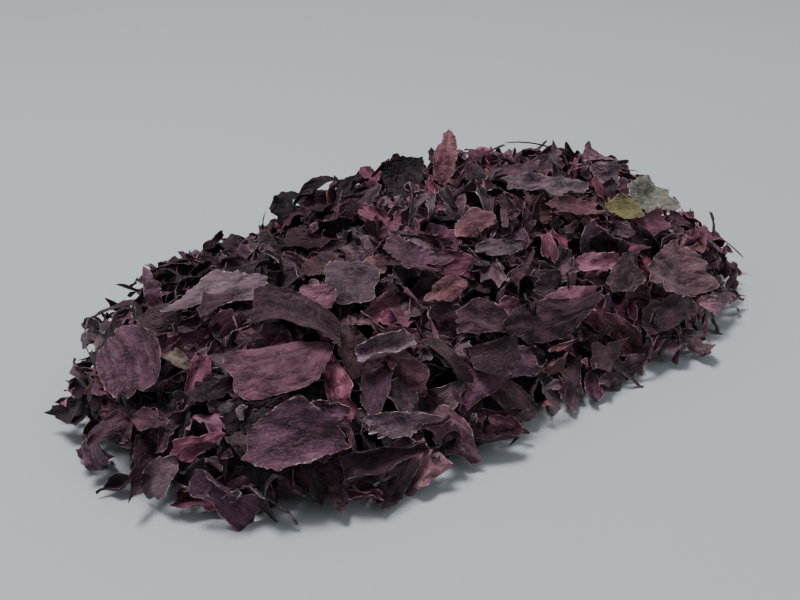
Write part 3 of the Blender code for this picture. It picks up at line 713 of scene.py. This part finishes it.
def joined_mesh(name, flakes):
    """One mesh of many flakes, with the values that the materials read."""
    starts = np.cumsum([0] + [len(flake.points) for flake in flakes[:-1]])
    points = np.concatenate([flake.points for flake in flakes]) * MM
    faces = np.concatenate([flake.faces + start for flake, start in zip(flakes, starts)])
    mesh = bpy.data.meshes.new(name)
    mesh.vertices.add(len(points))
    mesh.vertices.foreach_set("co", points.ravel())
    mesh.loops.add(faces.size)
    mesh.loops.foreach_set("vertex_index", faces.ravel())
    mesh.polygons.add(len(faces))
    mesh.polygons.foreach_set("loop_start", np.arange(0, faces.size, 4))
    mesh.update(calc_edges=True)
    mesh.polygons.foreach_set("use_smooth", np.ones(len(mesh.polygons), dtype=bool))
    for key in ("grain", "tint"):
        values = np.concatenate([getattr(flake, key) for flake in flakes])
        mesh.attributes.new(key, "FLOAT_VECTOR", "POINT").data.foreach_set("vector", np.ravel(values))
    rim = np.concatenate([flake.rim for flake in flakes])
    mesh.attributes.new("rim", "FLOAT", "POINT").data.foreach_set("value", rim)
    mesh.set_sharp_from_angle(angle=math.radians(SHARP_FROM))
    return mesh


def add_object(name, data):
    made = bpy.data.objects.new(name, data)
    bpy.context.scene.collection.objects.link(made)
    return made


def add_piece(mesh, material, slot, *nodes):
    """Puts a mesh into the scene as a piece that replaces CAD nodes."""
    mesh.materials.append(material)
    piece = add_object(mesh.name, mesh)
    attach(piece, "root")
    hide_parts(*nodes)


# What is drawn of a scrap on top otherwise than its solid is.
REDRAWN = {
    "black_sail": {"kind": "torn", "length": 14.0, "width": 12.0},
    "left_stalk": {"width": 1.6},
    "shelf_light": {"colour": "grey_plum"},
    "plum_square": {"colour": "grey_plum"},
    "long_band": {"colour": "plum"},
}

# Stalks that run under their neighbours.
SUNK_STALKS = ("left_stalk",)

# Ragged scraps that stand up on the ridge, as those on top are given, their rise above it and their
# shade.
RIDGE_SCRAPS = (
    ((-27, 26, 40, 14, 8, "torn", 54, 0, 0.5, 0.2, 0.3, 0.8, "plum"), 3.6, -0.1),
    ((-20, 26, -38, 15, 5, "torn", 4, 30, 0.7, 1.3, 0.5, 0.5, "plum"), 7.2, 0.0),
    ((-19, 24, 66, 10, 9, "torn", 38, 8, 0.5, 0.3, 0.2, 0.6, "magenta"), 1.5, 0.25),
    ((-28, 23, -30, 14, 7, "sail", 12, 34, 0.6, 0.2, 0.3, 0.6, "magenta"), 1.0, 0.1),
    ((-15, 23, 20, 10, 7, "torn", 46, -10, 0.8, 0.3, 0.4, 0.6, "red_brown"), 2.0, 0.3),
    ((-5, 20, 74, 13, 9, "sail", 50, 0, 0.6, 0.2, 0.3, 0.5, "magenta"), 3.0, 0.45),
    ((-1, 18, 10, 10, 7, "torn", 44, 12, 0.7, 0.2, 0.4, 0.6, "plum"), 1.0, 0.1),
    ((14, 15, 50, 9, 8, "torn", 50, 0, 0.5, 0.2, 0.3, 0.7, "plum"), 2.0, 0.1),
    ((26, 13, 64, 9, 8, "sail", 40, 0, 0.6, 0.2, 0.4, 0.6, "magenta"), 2.0, 0.35),
    ((41, 14, 50, 10, 9, "torn", 42, 0, 0.5, 0.2, 0.3, 0.7, "plum"), 1.5, 0.4),
    ((66, 4, 42, 10, 9, "square", 46, 0, 0.3, 0.2, 0.2, 0.4, "mauve"), 2.0, 0.45),
    ((-52, 29, -28, 13, 6, "torn", 10, 20, 0.5, 0.2, 0.3, 0.5, "magenta"), 1.0, 0.1),
)

# How bright scraps on top are. Random ones lie from about 0 to 1, and those not named at MIDDLE_SHADE.
SHADE_GROUPS = {
    -0.1: ("black_sail", "dark_curl", "dark_red_fold", "maroon_band", "ragged_wing"),
    0.0: ("left_stalk", "dark_fold", "ragged_black", "top_twig", "right_stalk"),
    0.15: (
        "left_tip", "front_dark", "front_low", "pink_pair", "pale_twig", "front_roll", "pink_curl",
        "brown_strap", "cream_scrap",
    ),
    0.32: ("ruffle", "brown_flap", "under_sail", "long_band", "mauve_lobe"),
    0.62: ("plum_ridge", "centre_grey", "pink_point"),
    0.80: (
        "fan_fold", "red_point", "olive_leaf", "red_leaf", "maroon_leaf", "round_blade", "magenta_tail",
    ),
    1.0: (
        "left_upright", "brown_shield", "scallop", "magenta_right", "red_upright", "shelf_light",
        "plum_sail", "grey_green", "front_apron",
    ),
    1.25: ("mid_crumple", "plum_square", "pink_strip", "curled_pod", "front_crumple", "purple_blade"),
}
SHADES = {name: shade for shade, names in SHADE_GROUPS.items() for name in names}
MIDDLE_SHADE = 0.48

# colour: deep tone, main tone, light tone, pale tone of the thin rim, all in thousandths. The light tone
# along folds and the pale tone on the rim are painted highlights.
TONES = {
    "plum": ((16, 6, 12), (74, 29, 50), (190, 96, 136), (340, 210, 260)),
    "mauve": ((50, 15, 31), (182, 62, 101), (335, 160, 218), (460, 280, 330)),
    "magenta": ((28, 6, 16), (118, 27, 56), (245, 82, 131), (400, 200, 250)),
    "red_brown": ((36, 12, 17), (135, 50, 63), (270, 130, 150), (440, 270, 270)),
    "brown": ((22, 10, 14), (85, 42, 53), (185, 110, 126), (340, 230, 230)),
    "grey_plum": ((20, 11, 18), (90, 50, 69), (215, 145, 176), (400, 310, 340)),
    "grey_green": ((52, 47, 38), (140, 134, 110), (260, 250, 210), (380, 330, 290)),
    "olive": ((40, 34, 13), (120, 103, 40), (240, 210, 100), (360, 300, 160)),
    "cream": ((130, 82, 66), (300, 215, 178), (480, 390, 320), (500, 400, 340)),
    "stalk": ((14, 8, 11), (52, 30, 37), (150, 98, 105), (220, 140, 140)),
}

# The patterns on a scrap: how often each varies along, across and between scraps, its detail and its
# roughness. Then the nets of creases, which a swirl bends.
PATTERNS = {
    "blotches": ((0.20, 0.28, 1.0), 4.0, 0.55),
    "broad": ((0.14, 0.62, 1.0), 3.0, 0.55),
    "streaks": ((0.34, 2.7, 1.0), 3.0, 0.60),
    "specks": ((2.2, 3.0, 1.0), 4.0, 0.65),
    "ragged": ((0.9, 0.9, 1.0), 2.0, 0.55),
    "wrinkles": ((0.34, 0.95, 1.0), 5.0, 0.60),
}
CREASE_NETS = {"folds": (0.15, 0.32, 1.0), "puckers": (0.36, 1.5, 1.0)}
SWIRL_STRENGTH = 1.8

# Layers of colour over the deep tone: where in its pattern each starts and is full, its strength and
# its tone.
LAYERS = (
    ("blotches", 0.38, 0.60, 1.0, "main"),
    ("broad", 0.50, 0.74, 0.34, "light"),
    ("streaks", 0.50, 0.78, 0.24, "light"),
    ("streaks", 0.46, 0.28, 0.24, "deep"),
    ("specks", 0.56, 0.80, 0.30, "pale"),
)

# Pale lines along folds and rims, painted highlights of light caught on the crease ridges and on, and
# through, the thin rim: where they fade out, their strength, where in the ragged pattern they start and
# are full, and their tone.
PAINTED_HIGHLIGHT_LINES = (
    ("folds", (0.0, 0.04), 0.40, (0.40, 0.62), "light"),
    ("rim", (0.05, 0.23), 0.78, (0.43, 0.63), "pale"),
)

# What a scrap's tint does to its colour: the part of it, its range, and the range that it gives.
TINTED = {
    "Value": ("X", (-0.15, 1.25), (0.12, 1.80)),
    "Hue": ("Y", (0.0, 1.0), (0.484, 0.516)),
    "Saturation": ("Z", (0.0, 1.0), (0.82, 1.14)),
}

# Bumps, each on the one before: the pattern, where in it a bump is full, unless it is taken as it is,
# its strength and its height in metres.
BUMPS = (
    ("wrinkles", None, 0.45, 0.0005),
    ("folds", 0.40, 0.60, 0.0006),
    ("puckers", 0.30, 0.35, 0.00018),
    ("streaks", None, 0.55, 0.00018),
    ("specks", None, 0.50, 0.00015),
)

# Smoother and rougher streaks, little reflection, a slight sheen.
ROUGH_STREAKS = (0.35, 0.70, 0.40, 0.60)
GLOSS = {"Specular IOR Level": 0.12, "Sheen Weight": 0.06, "Sheen Roughness": 0.5}


def new_material(name):
    """A material, its node tree and its shader."""
    material = bpy.data.materials.new(name)
    material.use_nodes = True
    return material, material.node_tree, material.node_tree.nodes["Principled BSDF"]


def feed(tree, made, inputs):
    """Feeds a node's inputs, by name or number, each from another node's output or with a value."""
    for key, value in inputs.items():
        if isinstance(value, bpy.types.NodeSocket):
            tree.links.new(value, made.inputs[key])
        else:
            made.inputs[key].default_value = value


def node(tree, kind, inputs=(), **settings):
    made = tree.nodes.new("ShaderNode" + kind)
    for name, value in settings.items():
        setattr(made, name, value)
    feed(tree, made, dict(inputs))
    return made


def blend_colour(tree, share, low, high):
    """A colour between two others. The mix node's colour inputs and output go by number."""
    return node(tree, "Mix", {0: share, 6: low, 7: high}, data_type="RGBA").outputs[2]


def ranged(tree, value, low, high, to_low=0.0, to_high=1.0):
    inputs = {"Value": value, "From Min": low, "From Max": high, "To Min": to_low, "To Max": to_high}
    return node(tree, "MapRange", inputs).outputs["Result"]


def stretched(tree, place, stretch):
    """A texture's inputs for a place that is stretched by a factor along each axis."""
    laid = node(tree, "Mapping", {"Vector": place, "Scale": stretch})
    return {"Vector": laid.outputs[0], "Scale": 1.0}


def noise(tree, place, stretch, detail, roughness):
    inputs = {**stretched(tree, place, stretch), "Detail": detail, "Roughness": roughness}
    return node(tree, "TexNoise", inputs).outputs["Fac"]


def creases(tree, place, stretch):
    """How far a point lies from the nearest of a net of creases."""
    inputs = stretched(tree, place, stretch)
    return node(tree, "TexVoronoi", inputs, feature="DISTANCE_TO_EDGE").outputs["Distance"]


def seaweed_material(name):
    """Dried dulse of one colour: streaked, blotched and wrinkled, with painted highlights on folds and pale
    rim.
    """
    tones = [(*(part / 1000 for part in tone), 1.0) for tone in TONES[name]]
    tones = dict(zip(("deep", "main", "light", "pale"), tones))
    material, tree, shader = new_material(f"dulse_{name}")
    grain = node(tree, "Attribute", attribute_name="grain").outputs["Vector"]
    tint = node(tree, "Attribute", attribute_name="tint").outputs["Vector"]
    tints = node(tree, "SeparateXYZ", {"Vector": tint}).outputs
    patterns = {key: noise(tree, grain, *facts) for key, facts in PATTERNS.items()}
    patterns["rim"] = node(tree, "Attribute", attribute_name="rim").outputs["Fac"]
    swirl = node(tree, "TexNoise", {"Vector": grain, "Scale": 0.55, "Detail": 2.0}).outputs["Color"]
    bent = node(tree, "VectorMath", {0: swirl, "Scale": SWIRL_STRENGTH}, operation="SCALE")
    bent = node(tree, "VectorMath", {0: grain, 1: bent.outputs[0]}, operation="ADD")
    for key, stretch in CREASE_NETS.items():
        patterns[key] = creases(tree, bent.outputs[0], stretch)

    base = tones["deep"]
    for pattern, start, full, most, tone in LAYERS:
        share = ranged(tree, patterns[pattern], start, full, 0.0, most)
        base = blend_colour(tree, share, base, tones[tone])
    # Painted highlights: pale lines along the folds and on the thin rim.
    for pattern, fading, most, breaks, tone in PAINTED_HIGHLIGHT_LINES:
        near = ranged(tree, patterns[pattern], *fading, most, 0.0)
        broken = ranged(tree, patterns["ragged"], *breaks)
        share = node(tree, "Math", {0: near, 1: broken}, operation="MULTIPLY").outputs[0]
        base = blend_colour(tree, share, base, tones[tone])
    changes = {key: ranged(tree, tints[part], *given, *made) for key, (part, given, made) in TINTED.items()}
    tinted = node(tree, "HueSaturation", {"Color": base, **changes})

    normal = {}
    for pattern, full, strength, height in BUMPS:
        field = patterns[pattern] if full is None else ranged(tree, patterns[pattern], 0.0, full)
        inputs = {"Height": field, "Strength": strength, "Distance": height, **normal}
        normal = {"Normal": node(tree, "Bump", inputs).outputs["Normal"]}

    roughness = ranged(tree, patterns["streaks"], *ROUGH_STREAKS)
    inputs = {"Base Color": tinted.outputs["Color"], "Roughness": roughness, **normal, **GLOSS}
    feed(tree, shader, inputs)
    return material


# The heap's dark inside, coloured in painted shade for the dark gaps deep between the scraps: where in
# its lumps its two colours blend, those, and how rough it is.
INSIDE_BLEND = (0.4, 0.7)
INSIDE_SHADE_COLOURS = ((0.009, 0.004, 0.008, 1.0), (0.032, 0.014, 0.024, 1.0))
INSIDE_ROUGHNESS = (0.3, 0.7, 0.7, 0.9)


# The inside's dark colours are painted shade, for the gaps deep in the heap.
def painted_shade_material():
    material, tree, shader = new_material("dulse_inside_painted_shade")
    place = node(tree, "TexCoord").outputs["Object"]
    inputs = {"Vector": place, "Scale": 260.0, "Detail": 6.0}
    lumps = node(tree, "TexNoise", inputs).outputs["Fac"]
    colour = blend_colour(tree, ranged(tree, lumps, *INSIDE_BLEND), *INSIDE_SHADE_COLOURS)
    roughness = ranged(tree, lumps, *INSIDE_ROUGHNESS)
    bump = node(tree, "Bump", {"Height": lumps, "Strength": 1.0, "Distance": 0.002})
    feed(tree, shader, {"Base Color": colour, "Roughness": roughness, "Normal": bump.outputs["Normal"]})
    return material


# The inside's mesh: its points round and inwards, how far it lies below the part's mound, its lumps,
# how low it and its base lie, where it has its full length, and how square its ends are.
INSIDE_AROUND = 96
INSIDE_RINGS = 26
INSIDE_DROP = 1.6
INSIDE_LUMPS = 0.35
INSIDE_SEED = 5
INSIDE_LOWEST = 0.3
INSIDE_BASE = 0.1
INSIDE_MIDDLE = 0.25
INSIDE_ENDS = 1.5


def inside_mesh():
    """A closed mound, a little lower than the part's, with a lumpy skin."""
    draw = np.random.default_rng(INSIDE_SEED)
    turn = np.linspace(0, FULL_TURN, INSIDE_AROUND, endpoint=False)
    out = np.linspace(1.0, 0.0, INSIDE_RINGS, endpoint=False) * (CORE_FOOT - INSIDE_DROP)
    turn, out = np.meshgrid(turn, out, indexing="ij")
    side = np.clip(INSIDE_ENDS * np.cos(turn), -1, 1)
    x = out * np.cos(turn) + HALF_LINE * side * np.minimum(1.0, out / (INSIDE_MIDDLE * CORE_FOOT))
    y = out * np.sin(turn)
    skin = core_height(x, y) - INSIDE_DROP + draw.normal(0, INSIDE_LUMPS, x.shape)
    z = np.maximum(skin, INSIDE_LOWEST)
    z[:, 0] = INSIDE_BASE
    crest = float(core_height(0.0, 0.0)) - INSIDE_DROP
    points = np.stack([x.ravel(), y.ravel(), z.ravel()], axis=1)
    points = np.concatenate([points, [[0, 0, crest], [0, 0, INSIDE_BASE]]])
    number = np.arange(out.size).reshape(out.shape)
    after = np.roll(number, -1, axis=0)
    quads = np.stack([number[:, :-1], after[:, :-1], after[:, 1:], number[:, 1:]], axis=2)
    faces = quads.reshape(-1, 4).tolist()
    top, under = out.size, out.size + 1
    faces += [(near, far, top) for near, far in zip(number[:, -1].tolist(), after[:, -1].tolist())]
    faces += [(far, near, under) for near, far in zip(number[:, 0].tolist(), after[:, 0].tolist())]
    mesh = bpy.data.meshes.new("bed_inside")
    mesh.from_pydata((points * MM).tolist(), [], faces)
    mesh.update()
    return mesh


def placed_tops():
    """The scraps on top, each with the height of its solid."""
    tops = []
    for name, scrap, _ in top_scraps():
        z = sampled(scrap, SOLID_SAMPLES)[:, 2]
        low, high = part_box(name)
        lift = (low[2] + high[2]) / 2 / MM - (z.min() + z.max()) / 2
        tops.append((name, scrap._replace(**REDRAWN.get(name, {})), lift))
    return tops


def drawn_tops(tops):
    """The scraps on top as flakes, and the heights that they cover."""
    flakes = []
    for number, (name, scrap, lift) in enumerate(tops):
        cells = TOP_CELLS
        if scrap.width < STALK_WIDTH:
            cells = STALK_CELLS
            scrap = scrap._replace(width=DRAWN_STALK_WIDTH * scrap.width)
        strength = TOP_CRINKLE + CRINKLE_PER_RIPPLE * scrap.ripple
        shade = SHADES.get(name, MIDDLE_SHADE)
        flakes.append(fine_scrap(scrap, lift, cells, (TOP_KEY, number), strength, shade))
    cover = cover_of(flake for flake, (_, scrap, _) in zip(flakes, tops) if scrap.width >= STALK_WIDTH)
    for flake, (name, _, _) in zip(flakes, tops):
        if name in SUNK_STALKS:
            tucked(flake, cover)
    return flakes, cover


def coloured_groups(bed, fillers, cover):
    """The flakes of the bed, the fillers and the ridge, in one list for each colour."""
    groups = {}
    bed = [(scrap, lift, BED_CELLS) for scrap, lift in bed]
    for kind, strength, scraps in ((BED_KEY, BED_CRINKLE, bed), (FILLER_KEY, FILLER_CRINKLE, fillers)):
        for number, (scrap, lift, cells) in enumerate(scraps):
            flake = fine_scrap(scrap, lift, cells, (kind, number), strength)
            groups.setdefault(scrap.colour, []).append(tucked(flake, cover))
    for number, (values, rise, shade) in enumerate(RIDGE_SCRAPS):
        scrap = Scrap(*values, seed=RIDGE_SEEDS[0] + RIDGE_SEEDS[1] * number)
        lift = float(heap_height(scrap.x, scrap.y)) + rise
        strength = RIDGE_CRINKLE + CRINKLE_PER_RIPPLE * scrap.ripple
        flake = fine_scrap(scrap, lift, TOP_CELLS, (RIDGE_KEY, number), strength, shade)
        groups.setdefault(scrap.colour, []).append(flake)
    return groups


def build_heap():
    materials = {name: seaweed_material(name) for name in TONES}
    bed = drawn_bed(bed_scraps(HeightMap(top_scraps())))
    tops = placed_tops()
    top_flakes, cover = drawn_tops(tops)
    groups = coloured_groups(bed, filler_scraps(filled_ground(bed, tops)), cover)

    add_piece(inside_mesh(), painted_shade_material(), "plum", "bed")
    for colour, flakes in groups.items():
        for part, start in enumerate(range(0, len(flakes), LARGEST_GROUP)):
            mesh = joined_mesh(f"bed_{colour}_{part}", flakes[start:start + LARGEST_GROUP])
            add_piece(mesh, materials[colour], colour, "bed")
    for flake, (name, scrap, _) in zip(top_flakes, tops):
        mesh = joined_mesh(f"top_{name}", [flake])
        add_piece(mesh, materials[scrap.colour], scrap.colour, name)


FLOOR_COLOUR = (0.410, 0.440, 0.470, 1.0)
FLOOR_REACH = 40.0


def build_floor():
    corners = [(x * FLOOR_REACH, y * FLOOR_REACH, 0) for x, y in ((-1, -1), (1, -1), (1, 1), (-1, 1))]
    mesh = bpy.data.meshes.new("floor")
    mesh.from_pydata(corners, [], [(0, 1, 2, 3)])
    material, tree, shader = new_material("floor")
    feed(tree, shader, {"Base Color": FLOOR_COLOUR, "Roughness": 0.6})
    mesh.materials.append(material)
    floor = add_object("floor", mesh)


# Each light's kind, place, size, power and colour. The far key light reaches the whole floor, from the
# same side as the near one.
KEY_PLACE = (-0.18, 0.20, 1.0)
KEY_COLOUR = (1.0, 0.985, 0.985)
LIGHTS = {
    "key": ("AREA", KEY_PLACE, 0.34, 8.0, KEY_COLOUR),
    "fill": ("AREA", (0.2, -0.9, 0.8), 0.9, 2.0, (0.96, 0.98, 1.0)),
    "key_far": ("SUN", KEY_PLACE, 0.34, 1.1, KEY_COLOUR),
}
ROOM = {"Color": (0.80, 0.84, 0.88, 1.0), "Strength": 0.45}


def build_lights():
    for name, (kind, place, size, power, colour) in LIGHTS.items():
        data = bpy.data.lights.new(name, kind)
        data.energy = power
        data.color = colour
        if kind == "SUN":
            data.angle = size
        else:
            data.shape = "DISK"
            data.size = size
        light = add_object(name, data)
        light.location = place
        light.rotation_euler = (-Vector(place)).to_track_quat("-Z", "Y").to_euler()
    world = bpy.data.worlds.new("room")
    world.use_nodes = True
    feed(world.node_tree, world.node_tree.nodes["Background"], ROOM)
    bpy.context.scene.world = world


# The camera as the photo's perspective gives it. The roll is in degrees.
CAMERA_PLACE = (-0.14861, -0.18965, 0.13596)
CAMERA_AHEAD = (0.52023, 0.71643, -0.46487)
CAMERA_ROLL = -1.707
CAMERA_LENS = 45.2


def build_camera():
    data = bpy.data.cameras.new("camera")
    data.sensor_width = 36.0
    data.lens = CAMERA_LENS
    data.clip_start = 0.01
    camera = add_object("camera", data)
    look = Vector(CAMERA_AHEAD).to_track_quat("-Z", "Y").to_matrix().to_4x4()
    roll = Matrix.Rotation(math.radians(CAMERA_ROLL), 4, "Z")
    camera.matrix_world = Matrix.Translation(CAMERA_PLACE) @ look @ roll
    bpy.context.scene.camera = camera


build_camera()
build_floor()
build_lights()
build_heap()
